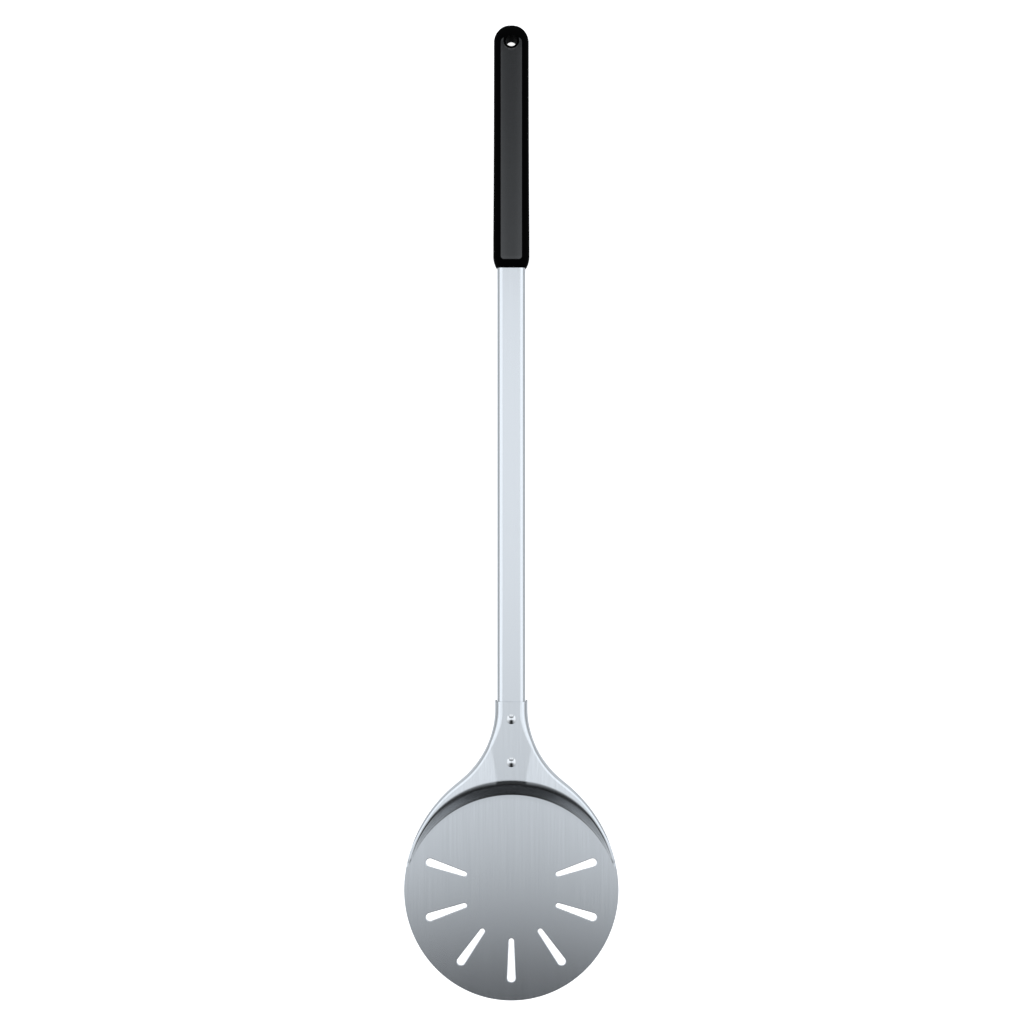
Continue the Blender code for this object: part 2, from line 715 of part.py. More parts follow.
def make_pins():
    profile = [(0.0, PIN_HALF_LENGTH), (PIN_R - PIN_CHAMFER, PIN_HALF_LENGTH),
               (PIN_R, PIN_HALF_LENGTH - PIN_CHAMFER), (PIN_R, PIN_CHAMFER - PIN_HALF_LENGTH),
               (PIN_R - PIN_CHAMFER, -PIN_HALF_LENGTH), (0.0, -PIN_HALF_LENGTH)]
    for place, y in PIN_Y.items():
        turned("grip_pin_" + place, profile, pin_steel).location = (0.0, y, TUBE_Z)


clear_scene()
parts = new_collection("pizza_peel")
cutters = new_collection("cutters")

cutter_material = material("cutter", (0.8, 0.2, 0.2), 0.5)
brushed_aluminium = material("brushed_aluminium", (0.72, 0.74, 0.77), 0.38, 1.0)
anodised_aluminium = material("anodised_aluminium", (0.76, 0.78, 0.81), 0.34, 1.0)
polished_aluminium = material("polished_aluminium", (0.85, 0.86, 0.88), 0.12, 1.0)
washer_steel = material("washer_steel", (0.62, 0.62, 0.63), 0.3, 1.0)
insert_nylon = material("insert_nylon", (0.08, 0.08, 0.085), 0.5)
grip_nylon = material("grip_nylon", (0.012, 0.012, 0.013), 0.45)
inlay_rubber = material("inlay_rubber", (0.05, 0.054, 0.058), 0.75)
pin_steel = material("pin_steel", (0.55, 0.55, 0.56), 0.3, 1.0)

rivet_holes = hole_cutters("rivet_hole_cutter", RIVET_Y.values(), SHANK_HOLE_R)
pin_holes = hole_cutters("pin_hole_cutter", PIN_Y.values(), PIN_R + GAP)

make_head()
make_tube()
make_neck_insert()
make_rivets()
make_grip()
make_pins()
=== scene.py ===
"""Looks of the pizza turning peel: fine meshes, materials, light and camera.

Metres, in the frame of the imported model: blade underside at z = 0, handle along +Y.
"""
from math import acos, atan, atan2, cos, pi, sin, sqrt

import bmesh
import bpy
from mathutils import Matrix, Vector


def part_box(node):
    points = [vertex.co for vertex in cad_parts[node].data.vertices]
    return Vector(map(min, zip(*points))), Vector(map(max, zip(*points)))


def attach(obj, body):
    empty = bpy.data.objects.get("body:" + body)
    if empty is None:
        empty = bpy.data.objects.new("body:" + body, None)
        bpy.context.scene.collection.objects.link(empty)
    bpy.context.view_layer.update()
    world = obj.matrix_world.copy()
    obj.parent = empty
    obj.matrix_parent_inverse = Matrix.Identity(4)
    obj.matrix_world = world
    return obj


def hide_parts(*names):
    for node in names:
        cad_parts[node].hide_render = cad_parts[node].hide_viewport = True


MM = 0.001
DEGREE = pi / 180
WELD = 0.001 * MM           # points closer together than this become one
MIRROR_WELD = 0.01 * MM
HAIR = 0.05 * MM            # gap between visual pieces that touch on the real peel

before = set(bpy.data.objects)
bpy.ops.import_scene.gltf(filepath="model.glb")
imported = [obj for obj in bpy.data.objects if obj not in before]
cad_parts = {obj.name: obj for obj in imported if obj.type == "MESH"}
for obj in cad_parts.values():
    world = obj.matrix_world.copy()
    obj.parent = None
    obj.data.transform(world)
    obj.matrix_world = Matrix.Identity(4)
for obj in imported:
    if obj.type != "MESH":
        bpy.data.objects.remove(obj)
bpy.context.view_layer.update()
head_low, head_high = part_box("head")
tube_low, tube_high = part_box("handle_tube")
inlay_low, inlay_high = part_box("grip_inlay_front")

# Head
SHEET = 1.5 * MM
BLADE_HALF_WIDTH = 89.0 * MM
BLADE_HALF_LENGTH = -head_low.y
NECK_TOP = head_high.z
NECK_HALF_WIDTH = 13.3 * MM
NECK_END_Y = head_high.y
HOLLOW_Y = 152.2 * MM       # where the straight neck starts to flare
HOLLOW_R = 77.7 * MM        # concave arc of the flare
SHOULDER_R = 117.1 * MM     # convex arc from the flare to the blade's rim
RIM_ANGLE = 6.0 * DEGREE     # where the shoulder arc meets the rim, up from the x axis
WING_Y = 20.9 * MM          # where step, shoulders and flange run out into the rim
WING_MARGIN = 1.5 * MM
STEP_TOP_Y = 95.3 * MM
STEP_FOOT_Y = 78.7 * MM
CREST_END_X = 83.4 * MM     # half-width of the step's crest at the wing tips
FOOT_FILLET = 0.2           # shares of the step's run
CREST_FILLET = 0.45
CREST_RUNOUT = (0.85, 1.0)  # share of the crest over which it runs out into the flange
FOLD_X = 12.1 * MM          # a fold bounds the neck's flat top and splays towards the grip
FOLD_Y = 93.5 * MM
FOLD_SPLAY = 0.191
FOLD_SOFTNESS = 0.15 * MM
SHOULDER_POWER = 0.8        # spaces the columns that run up to the shoulders
FLOOR_ROW_POWER = 1.5       # spaces the floor's rows along the centre line
SKIRT_END_Z = 7.0 * MM      # lower edge of the flange at the neck's cut end
LEAST_FLANGE = 0.1 * MM     # a shallower flange is left out
NECK_BEND = 6.3 * MM        # outer radii of the flange's bend, and where they blend
SHOULDER_BEND = 3.0 * MM
WING_BEND = 1.8 * MM
BEND_BLEND_Y = (115.0 * MM, 150.0 * MM)
WING_BLEND_Y = (22.0 * MM, 105.0 * MM)
SHEET_EDGE = 0.2 * MM       # rounding of the sheet's cut edges

# Head mesh: columns outwards from the centre line, then rows, then the flange's strips
NECK_COLUMNS = 8
SHOULDER_COLUMNS = 84
RAISED_ROWS = 40
STEP_ROWS = 30
FLOOR_ROWS = 72
RUNOUT_SHARES = (0.3, 0.7)  # floor rows between the wing's foot and the elliptical rim
BEND_STRIPS = 12
SKIRT_STRIPS = 4

# Slots
SLOT_PLACES = 10
SLOT_COUNT = 7
SLOT_STRETCH = BLADE_HALF_LENGTH / BLADE_HALF_WIDTH
SLOT_INNER_R = 41.0 * MM
SLOT_OUTER_R = 71.0 * MM
SLOT_INNER_HALF = 1.95 * MM
SLOT_OUTER_HALF = 3.3 * MM
SLOT_EDGE = 0.45 * MM       # rolled edge of each slot
SLOT_END_STEPS = 20
SLOT_EDGE_STEPS = 4

# Tube
TUBE_HALF_WIDTH = (tube_high.x - tube_low.x) / 2
TUBE_HALF_DEPTH = (tube_high.z - tube_low.z) / 2
TUBE_Z = (tube_high.z + tube_low.z) / 2
TUBE_CORNER = 4.5 * MM
TUBE_WALL = 1.5 * MM
TUBE_EDGE = 0.25 * MM       # rounding of the tube's cut ends
TUBE_CORNER_STEPS = 14
TUBE_STATIONS = 24

# Rivets
RIVETS = ("front", "rear")
RIVET_HEAD_R = 4.0 * MM
RIVET_DOME = 1.4 * MM
RIVET_SHANK_R = 2.0 * MM
RIVET_RIM = 0.15 * MM       # the dome's rim is undercut by this much
DOME_STEPS = 16
TAIL_R = 3.2 * MM
TAIL_HEIGHT = 1.0 * MM
TAIL_CHAMFER_R = 0.1 * MM
TAIL_CHAMFER_Z = 0.15 * MM
TAIL_TAPER = 0.2 * MM
TAIL_ROUND = 0.6 * MM
TAIL_ROUND_STEPS = 6
DIMPLE_R = 0.6 * MM
DIMPLE = 0.1 * MM
WASHER_EDGE = 0.2 * MM

# Grip
GRIP_MOUTH_Y = 513.8 * MM
GRIP_END_Y = 713.8 * MM
GRIP_END_R = 14.3 * MM
GRIP_SWELL = 0.58 * MM
GRIP_SWELL_RUN = 160.0 * MM
GRIP_HALF_DEPTH = 10.25 * MM
GRIP_SECTION = 3.4
MOUTH_ROUND = 9.0 * MM      # length of the rounding at the mouth
MOUTH_DROP = 3.4 * MM       # how far it draws the sides in
MOUTH_SINK = 2.2 * MM       # how far it draws the faces in
MOUTH_POWER = 1.5
NOSE_RUN = 22.0 * MM        # length over which the faces roll off at the hanging end
NOSE_POWER = 2.4
NOSE_CAP = 0.05 * MM        # the last station stops this far short of the end
HANG_Y = 698.8 * MM
HANG_R = 4.6 * MM
HANG_EDGE = 0.45 * MM       # rounded countersink at each face
BOSS_R = 6.5 * MM           # plain ring of the body around the hanging hole
INLAY_HALF_WIDTH = (inlay_high.x - inlay_low.x) / 2
INLAY_START_Y = inlay_low.y
INLAY_CORNER = 2.6 * MM
INLAY_END_Y = HANG_Y + 2.5 * MM  # two horns run up beside the hanging hole to here
HORN_CORNER = 3.5 * MM
INLAY_THICK = 1.0 * MM
INLAY_GAP = 0.12 * MM       # between the inlay and its recess

# Grip mesh
MOUTH_STATIONS = 14
STRAIGHT_STATIONS = 60
NOSE_STATIONS = 40
INLAY_COLUMNS = 36
INLAY_CORNER_STATIONS = 10
INLAY_STATIONS = 70
HORN_STATIONS = 16
SOCKET_STATIONS = 8
COUNTERSINK_STEPS = 10

ROUND = 96                  # sides of a round piece


# ---------------------------------------------------------------- mesh helpers

def finish_piece(name, bm, mat, sharp=35):
    """Turn a bmesh into a smooth-shaded piece with one material."""
    mesh = bpy.data.meshes.new(name)
    bm.to_mesh(mesh)
    bm.free()
    mesh.materials.append(mat)
    mesh.shade_smooth()
    mesh.set_sharp_from_angle(angle=sharp * DEGREE)
    obj = bpy.data.objects.new(name, mesh)
    bpy.context.scene.collection.objects.link(obj)
    return obj


def stands_for(obj, node):
    """The piece rides with the peel and replaces one CAD node."""
    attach(obj, "root")
    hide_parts(node)


def carve(obj, cutter):
    """Cut one mesh out of another, then drop the cutter."""
    boolean = obj.modifiers.new("cut", "BOOLEAN")
    boolean.operation = "DIFFERENCE"
    boolean.object = cutter
    bake(obj)
    bpy.data.objects.remove(cutter, do_unlink=True)


def bake(obj):
    """Apply the modifiers."""
    evaluated = obj.evaluated_get(bpy.context.evaluated_depsgraph_get())
    mesh = bpy.data.meshes.new_from_object(evaluated)
    obj.modifiers.clear()
    obj.data = mesh


def even_normals(obj):
    """Let the large faces set the normals, so that flats look flat up to their edges."""
    weighted = obj.modifiers.new("normals", "WEIGHTED_NORMAL")
    weighted.weight = 80
    weighted.keep_sharp = True


def round_edges(obj, width, angle=50):
    """Round the edges that are sharper than an angle in degrees."""
    bevel = obj.modifiers.new("edges", "BEVEL")
    bevel.width = width
    bevel.segments = 3
    bevel.limit_method = "ANGLE"
    bevel.angle_limit = angle * DEGREE


def skin(bm, rows, closed):
    """Join neighbouring rows of points with quads; a closed row is a ring with two caps."""
    grid = [[bm.verts.new(point) for point in row] for row in rows]
    count = len(rows[0])
    for upper, lower in zip(grid, grid[1:]):
        for i in range(count if closed else count - 1):
            j = (i + 1) % count
            bm.faces.new((upper[i], lower[i], lower[j], upper[j]))
    if closed:
        bm.faces.new(grid[0])
        bm.faces.new(reversed(grid[-1]))


def loft(*grids, closed=False):
    """A mesh of one or more skinned grids, welded together."""
    bm = bmesh.new()
    for rows in grids:
        skin(bm, rows, closed)
    bmesh.ops.remove_doubles(bm, verts=bm.verts, dist=WELD)
    return bm


def lay_grain(bm):
    """UVs in plan, so that the brushing runs along y."""
    layer = bm.loops.layers.uv.new("grain")
    for face in bm.faces:
        for loop in face.loops:
            loop[layer].uv = (loop.vert.co.x, loop.vert.co.y)


def turned(name, profile, mat, place, closed=False):
    """Spin an (r, z) profile, given down its outer side, about a vertical axis."""
    bm = bmesh.new()
    points = [bm.verts.new((r, 0.0, z)) for r, z in profile]
    if closed:
        points.append(points[0])
    edges = [bm.edges.new(pair) for pair in zip(points, points[1:])]
    bmesh.ops.spin(bm, geom=[*bm.verts, *edges], axis=(0.0, 0.0, 1.0), cent=(0.0, 0.0, 0.0),
                   angle=2 * pi, steps=ROUND)
    bmesh.ops.remove_doubles(bm, verts=bm.verts, dist=WELD)
    bmesh.ops.recalc_face_normals(bm, faces=bm.faces)
    bmesh.ops.translate(bm, verts=bm.verts, vec=place)
    return finish_piece(name, bm, mat)


def arc(centre, radius, start, end, steps):
    """(r, z) points of an arc; angles in degrees from the r axis."""
    angles = [(start + (end - start) * k / steps) * DEGREE for k in range(steps + 1)]
    return [(centre[0] + radius * cos(a), centre[1] + radius * sin(a)) for a in angles]


def soft_min(a, b, width):
    """The lesser of two numbers, rounded where they come closer than a width."""
    overlap = max(width - abs(a - b), 0.0) / width
    return min(a, b) - overlap * overlap * width / 4


def smooth_step(value, low, high):
    """Ease from 0 at low to 1 at high."""
    t = min(max((value - low) / (high - low), 0.0), 1.0)
    return t * t * (3 - 2 * t)


# ---------------------------------------------------------------- node helpers

class Nodes:
    """Short forms for building a node tree."""

    def __init__(self, tree):
        self.tree = tree

    def add(self, kind, **settings):
        """A new shader node with some of its properties set."""
        node = self.tree.nodes.new("ShaderNode" + kind)
        for name, value in settings.items():
            setattr(node, name, value)
        return node

    def link(self, source, target):
        self.tree.links.new(source, target)

    def math(self, operation, *values):
        """A Math node; each value is a number or a socket."""
        node = self.add("Math", operation=operation)
        for socket, value in zip(node.inputs, values):
            if isinstance(value, (int, float)):
                socket.default_value = value
            else:
                self.link(value, socket)
        return node.outputs[0]

    def stretch(self, factor):
        """Stretch the middle of a noise's range to run from black to white."""
        node = self.add("ValToRGB")
        dark, light = node.color_ramp.elements
        dark.position, light.position = NOISE_RANGE
        self.link(factor, node.inputs[0])
        return node.outputs[0]

    def profile(self, value, points):
        """A function of a number from -1 to 1, linear between (position, value) points."""
        node = self.add("FloatCurve")
        curve = node.mapping.curves[0]
        node.mapping.use_clip = False
        node.mapping.extend = "HORIZONTAL"
        while len(curve.points) < len(points):
            curve.points.new(0.0, 0.0)
        for point, place in zip(curve.points, points):
            point.location = place
            point.handle_type = "VECTOR"
        node.mapping.update()
        self.link(value, node.inputs["Value"])
        return node.outputs[0]

    def noise(self, scales, detail=2.0, roughness=0.5):
        """Noise in object space; a scale along each axis is in cycles per metre."""
        place = self.add("TexCoord")
        mapping = self.add("Mapping")
        mapping.inputs["Scale"].default_value = scales
        self.link(place.outputs["Object"], mapping.inputs["Vector"])
        node = self.add("TexNoise")
        node.inputs["Scale"].default_value = 1.0
        node.inputs["Detail"].default_value = detail
        node.inputs["Roughness"].default_value = roughness
        self.link(mapping.outputs[0], node.inputs["Vector"])
        return node.outputs["Fac"]

    def between(self, factor, low, high):
        """Map a 0 to 1 factor to a range."""
        node = self.add("MapRange")
        node.inputs["To Min"].default_value = low
        node.inputs["To Max"].default_value = high
        self.link(factor, node.inputs["Value"])
        return node.outputs[0]

    def tint(self, factor, dark, light):
        """Blend two colours."""
        node = self.add("Mix", data_type="RGBA")
        node.inputs[6].default_value = (*dark, 1.0)
        node.inputs[7].default_value = (*light, 1.0)
        self.link(factor, node.inputs[0])
        return node.outputs[2]

    def bump(self, height, distance, strength=1.0):
        """A normal from a height between 0 and 1 and the distance that 1 stands for."""
        node = self.add("Bump")
        node.inputs["Distance"].default_value = distance
        node.inputs["Strength"].default_value = strength
        self.link(height, node.inputs["Height"])
        return node.outputs[0]


def new_material(name, metallic=0.0, specular=0.5):
    """A material, its node tree and its shader."""
    mat = bpy.data.materials.new(name)
    mat.use_nodes = True
    shader = mat.node_tree.nodes["Principled BSDF"]
    shader.inputs["Metallic"].default_value = metallic
    shader.inputs["Specular IOR Level"].default_value = specular
    return mat, Nodes(mat.node_tree), shader


# ---------------------------------------------------------------- materials

NOISE_RANGE = (0.3, 0.7)    # nearly all of a noise's values lie in this range
FINE_GRAIN = (1100.0, 14.0, 1100.0)
BROAD_GRAIN = (300.0, 5.0, 300.0)
FINE_SHARE = 0.8


def even_scale(scale):
    """The same scale along every axis."""
    return (scale, scale, scale)


def brushed_metal(name, dark, light, roughness, anisotropic):
    """Aluminium with a fine lengthwise grain and faint broader streaks."""
    mat, nodes, shader = new_material(name, metallic=1.0)
    fine = nodes.noise(FINE_GRAIN, detail=5.0, roughness=0.65)
    broad = nodes.noise(BROAD_GRAIN)
    grain = nodes.math("ADD", nodes.math("MULTIPLY", fine, FINE_SHARE),
                       nodes.math("MULTIPLY", broad, 1 - FINE_SHARE))
    contrast = nodes.stretch(grain)
    nodes.link(nodes.tint(contrast, dark, light), shader.inputs["Base Color"])
    nodes.link(nodes.between(contrast, roughness * 1.12, roughness * 0.88),
               shader.inputs["Roughness"])
    nodes.link(nodes.bump(fine, 0.004 * MM), shader.inputs["Normal"])
    shader.inputs["Anisotropic"].default_value = anisotropic
    tangent = nodes.add("Tangent", direction_type="UV_MAP", uv_map="grain")
    nodes.link(tangent.outputs[0], shader.inputs["Tangent"])
    return mat


def polished_metal(name, colour, roughness):
    """Bright turned metal with faint handling marks."""
    mat, nodes, shader = new_material(name, metallic=1.0)
    marks = nodes.noise(even_scale(900.0), detail=4.0)
    nodes.link(nodes.tint(marks, [c * 0.94 for c in colour], colour), shader.inputs["Base Color"])
    nodes.link(nodes.between(marks, roughness * 0.8, roughness * 1.25), shader.inputs["Roughness"])
    return mat


def moulded_plastic(name, colour, roughness, specular):
    """Smooth moulded plastic with a very fine skin."""
    mat, nodes, shader = new_material(name, specular=specular)
    skin = nodes.noise(even_scale(2600.0))
    patches = nodes.noise(even_scale(140.0))
    nodes.link(nodes.tint(patches, [c * 0.85 for c in colour], [c * 1.15 for c in colour]),
               shader.inputs["Base Color"])
    nodes.link(nodes.between(patches, roughness * 0.93, roughness * 1.07),
               shader.inputs["Roughness"])
    nodes.link(nodes.bump(skin, 0.01 * MM), shader.inputs["Normal"])
    return mat


def textured_rubber(name, dark, light, roughness):
    """Soft inlay with a sandy skin and a faint mottle."""
    mat, nodes, shader = new_material(name, specular=1.0)
    sand = nodes.noise(even_scale(1500.0), detail=3.0, roughness=0.65)
    mottle = nodes.noise(even_scale(380.0), detail=4.0, roughness=0.6)
    nodes.link(nodes.tint(nodes.stretch(mottle), dark, light), shader.inputs["Base Color"])
    nodes.link(nodes.between(sand, roughness - 0.05, roughness + 0.05),
               shader.inputs["Roughness"])
    nodes.link(nodes.bump(sand, 0.03 * MM, 0.5), shader.inputs["Normal"])
    return mat


def floor_material():
    """Pale matt floor that glows a little, so that it stays as light as the backdrop."""
    mat, nodes, shader = new_material("studio_floor", specular=0.2)
    tone = nodes.noise(even_scale(6.0))
    nodes.link(nodes.tint(tone, (0.86, 0.86, 0.86), (0.88, 0.88, 0.88)),
               shader.inputs["Base Color"])
    shader.inputs["Roughness"].default_value = 0.9
    shader.inputs["Emission Color"].default_value = (1.0, 1.0, 1.0, 1.0)
    shader.inputs["Emission Strength"].default_value = 0.9
    return mat


# ---------------------------------------------------------------- head

def shoulder_geometry():
    """Centres of the two shoulder arcs, and the straight line that touches both."""
    rim = Vector((BLADE_HALF_WIDTH * cos(RIM_ANGLE), BLADE_HALF_LENGTH * sin(RIM_ANGLE)))
    outward = Vector((rim.x / BLADE_HALF_WIDTH ** 2, rim.y / BLADE_HALF_LENGTH ** 2)).normalized()
    convex = rim - SHOULDER_R * outward
    concave = Vector((NECK_HALF_WIDTH + HOLLOW_R, HOLLOW_Y))
    across = concave - convex
    heading = atan2(across.y, across.x) - acos((SHOULDER_R + HOLLOW_R) / across.length)
    normal = Vector((cos(heading), sin(heading)))
    return convex, concave, normal, rim.y


def head_edge(y):
    """Point and outward normal of the head's outline at height y on neck or shoulder."""
    convex, concave, normal, rim_y = shoulder_geometry()
    line_top = concave - HOLLOW_R * normal
    line_foot = convex + SHOULDER_R * normal
    if y >= HOLLOW_Y:
        return Vector((NECK_HALF_WIDTH, y)), Vector((1.0, 0.0))
    if y >= line_top.y:
        point = Vector((concave.x - sqrt(HOLLOW_R ** 2 - (y - concave.y) ** 2), y))
        return point, (concave - point) / HOLLOW_R
    if y >= line_foot.y:
        share = (y - line_foot.y) / (line_top.y - line_foot.y)
        return line_foot.lerp(line_top, share), normal
    if y >= rim_y:
        point = Vector((convex.x + sqrt(SHOULDER_R ** 2 - (y - convex.y) ** 2), y))
        return point, (point - convex) / SHOULDER_R
    raise ValueError("below the shoulder")


def rim_edge(angle):
    """Point and outward normal of the blade's elliptical rim."""
    point = Vector((BLADE_HALF_WIDTH * cos(angle), BLADE_HALF_LENGTH * sin(angle)))
    slope = Vector((cos(angle) / BLADE_HALF_WIDTH, sin(angle) / BLADE_HALF_LENGTH))
    return point, slope.normalized()


def past_fold(point):
    """How far a point lies outside the fold that bounds the neck's flat top."""
    return (point.x - FOLD_X - FOLD_SPLAY * (point.y - FOLD_Y)) * cos(atan(FOLD_SPLAY))


def facet_fall():
    """Slope of the facets, which run from the folds down to the wing tips."""
    wing_tip, normal = head_edge(WING_Y)
    return (NECK_TOP - SHEET) / past_fold(wing_tip - SHOULDER_BEND * normal)


def raised_height(point, fall):
    """Upper face of the neck's flat top and of the facets falling to the wing tips."""
    facet = NECK_TOP - fall * past_fold(point)
    return -soft_min(-soft_min(NECK_TOP, facet, FOLD_SOFTNESS), -SHEET, FOLD_SOFTNESS)


def step_ramp(share):
    """Share of the step's height at a share of its run: a fillet at the foot, a soft crest."""
    slope = 1 / (1 - FOOT_FILLET / 2 - CREST_FILLET * 2 / 3)
    if share < FOOT_FILLET:
        return slope * share ** 2 / (2 * FOOT_FILLET)
    if share > 1 - CREST_FILLET:
        return 1 - slope * (1 - share) ** 3 / (3 * CREST_FILLET ** 2)
    return slope * (share - FOOT_FILLET / 2)


def bend_radius(y):
    """Outer radius of the flange's bend: it follows the tube and tightens to the wing tips."""
    return (WING_BEND + (SHOULDER_BEND - WING_BEND) * smooth_step(y, *WING_BLEND_Y)
            + (NECK_BEND - SHOULDER_BEND) * smooth_step(y, *BEND_BLEND_Y))


def inner_edge(edge, normal):
    """Where the sheet's flat part ends and the flange's bend begins."""
    return edge - bend_radius(edge.y) * normal


def arc_through(end, middle_y):
    """Turn and radius of the arc that leaves the centre line square and reaches a point."""
    turn = 2 * atan2(middle_y - end.y, end.x)
    return turn, end.x / sin(turn)


def raised_columns():
    """Columns of the raised part: (crest of the step, end, edge), from the centre outwards.

    Each column is a spoke of the circle that the step's crest follows. It ends on the
    neck's cut end, where there is no edge, or at the flange's bend.
    """
    wing_y = WING_Y + WING_MARGIN
    neck_x = inner_edge(*head_edge(NECK_END_Y)).x
    ends = [(Vector((neck_x * k / NECK_COLUMNS, NECK_END_Y)), None) for k in range(NECK_COLUMNS)]
    for k in range(SHOULDER_COLUMNS + 1):
        share = (k / SHOULDER_COLUMNS) ** SHOULDER_POWER
        edge = head_edge(NECK_END_Y + (wing_y - NECK_END_Y) * share)
        ends.append((inner_edge(*edge), edge))
    _, radius = arc_through(Vector((CREST_END_X, wing_y)), STEP_TOP_Y)
    centre = Vector((0.0, STEP_TOP_Y - radius))
    spokes = [end - centre for end, _ in ends]
    last_turn = atan2(spokes[-1].x, spokes[-1].y)
    columns = []
    for spoke, (end, edge) in zip(spokes, ends):
        share = atan2(spoke.x, spoke.y) / last_turn
        reach = min(radius / spoke.length, 1.0)
        reach += (1 - reach) * smooth_step(share, *CREST_RUNOUT)
        columns.append((share, centre + spoke * reach, end, edge))
    return columns


def floor_middle(edge, wing_foot):
    """Where a floor row crosses the centre line, between the step's foot and the tip."""
    end_y = inner_edge(*edge).y
    foot_y = inner_edge(*wing_foot).y
    share = (-BLADE_HALF_LENGTH - end_y) / (-BLADE_HALF_LENGTH - foot_y)
    return end_y + (STEP_FOOT_Y - foot_y) * max(share, 0.0) ** FLOOR_ROW_POWER


def floor_edges():
    """(edge point, normal) from the wing's foot to the blade's tip."""
    wing_foot = head_edge(WING_Y - WING_MARGIN)
    rim_y = shoulder_geometry()[3]
    edges = [head_edge(wing_foot[0].y + (rim_y - wing_foot[0].y) * share)
             for share in RUNOUT_SHARES]
    return edges + [rim_edge(RIM_ANGLE - (RIM_ANGLE + pi / 2) * k / FLOOR_ROWS)
                    for k in range(FLOOR_ROWS + 1)]


def row_point(end, middle_y, share):
    """Point on the arc that leaves the centre line square and ends at a point."""
    turn, radius = arc_through(end, middle_y)
    return Vector((radius * sin(share * turn), middle_y - radius * (1 - cos(share * turn))))


def flange_profile(depth, bend):
    """(outward, down) steps from the sheet's flat edge round the bend to the flange's edge."""
    angle = acos(max(1 - depth / bend, 0.0))
    flat = bend * (1 - sin(angle))
    profile = [(flat, 0.0)]
    for k in range(1, BEND_STRIPS + 1):
        turn = angle * k / BEND_STRIPS
        profile.append((flat + bend * sin(turn), bend * (1 - cos(turn))))
    start = profile[-1][1]
    straight = max(depth - start, 0.0)
    for k in range(1, SKIRT_STRIPS + 1):
        profile.append((bend, start + straight * k / SKIRT_STRIPS))
    return profile


def head_grids():
    """Half of the sheet's upper face: a grid for the face and one for its flange.

    Rows of the face run outwards from the centre line, first on the raised part, then
    down the step, then over the floor to the tip.
    """
    fall = facet_fall()

    def place(plan, lift, down=0.0):
        height = SHEET + lift * (raised_height(plan, fall) - SHEET)
        return max(plan.x, 0.0), plan.y, height - down

    def flange(edge, lift):
        point, normal = edge
        bend = bend_radius(point.y)
        inner = inner_edge(point, normal)
        run = (point.y - WING_Y) / (NECK_END_Y - WING_Y)
        low = SHEET + (SKIRT_END_Z - SHEET) * max(run, 0.0)
        depth = place(point, lift)[2] - low
        if depth < LEAST_FLANGE:
            depth = 0.0
        return [place(inner, lift)] + [place(inner + out * normal, lift, down)
                                       for out, down in flange_profile(depth, bend)]

    columns = raised_columns()
    shares = [share for share, *_ in columns]
    face = []
    for k in range(RAISED_ROWS):
        share = k / RAISED_ROWS
        face.append([place(end.lerp(crest, share), 1.0) for _, crest, end, _ in columns])
    skirt = [flange(edge, 1.0) for *_, edge in columns[:-1] if edge]
    wing_top = head_edge(WING_Y + WING_MARGIN)
    wing_foot = head_edge(WING_Y - WING_MARGIN)
    foot = [row_point(inner_edge(*wing_foot), STEP_FOOT_Y, share) for share in shares]
    for k in range(STEP_ROWS + 1):
        share = k / STEP_ROWS
        lift = step_ramp(1 - share)
        edge = head_edge(wing_top[0].y + (wing_foot[0].y - wing_top[0].y) * share)
        row = [crest.lerp(low, share) for (_, crest, _, _), low in zip(columns, foot)]
        face.append([place(point, lift) for point in row[:-1]]
                    + [place(inner_edge(*edge), lift)])
        skirt.append(flange(edge, lift))
    for edge in floor_edges():
        middle_y = floor_middle(edge, wing_foot)
        end = inner_edge(*edge)
        face.append([place(row_point(end, middle_y, share), 0.0) for share in shares])
        skirt.append(flange(edge, 0.0))
    return face, skirt


def slot_outline(grow):
    """A slot's outline with its length along x, grown outwards by a rim."""
    length = SLOT_OUTER_R - SLOT_INNER_R
    lean = acos((SLOT_INNER_HALF - SLOT_OUTER_HALF) / length)
    inner = SLOT_INNER_HALF + grow
    outer = SLOT_OUTER_HALF + grow
    points = []
    for k in range(SLOT_END_STEPS + 1):
        angle = lean + (2 * pi - 2 * lean) * k / SLOT_END_STEPS
        points.append((SLOT_INNER_R + inner * cos(angle), inner * sin(angle)))
    for k in range(SLOT_END_STEPS + 1):
        angle = -lean + 2 * lean * k / SLOT_END_STEPS
        points.append((SLOT_OUTER_R + outer * cos(angle), outer * sin(angle)))
    return points


def rolled_levels():
    """(height, growth) through the sheet: straight in the middle, flared at both faces."""
    flare = []
    for k in range(SLOT_EDGE_STEPS + 1):
        angle = pi / 2 * k / SLOT_EDGE_STEPS
        flare.append((SLOT_EDGE * (1 - cos(angle)), SLOT_EDGE * (1 - sin(angle))))
    return [(-SLOT_EDGE, SLOT_EDGE), *flare, *[(SHEET - z, grow) for z, grow in reversed(flare)],
            (SHEET + SLOT_EDGE, SLOT_EDGE)]


def slot_cutter(mat):
    """All the slots as one cutter, on a circle stretched to the oblong blade."""
    bm = bmesh.new()
    for place in range(SLOT_COUNT):
        angle = -pi / 2 + (place - SLOT_COUNT // 2) * 2 * pi / SLOT_PLACES
        turn = Matrix.Rotation(angle, 3, "Z")
        rings = []
        for z, grow in reversed(rolled_levels()):
            ring = [turn @ Vector((x, y, z)) for x, y in slot_outline(grow)]
            rings.append([(p.x, p.y * SLOT_STRETCH, p.z) for p in ring])
        skin(bm, rings, closed=True)
    return finish_piece("slot_cutter", bm, mat)


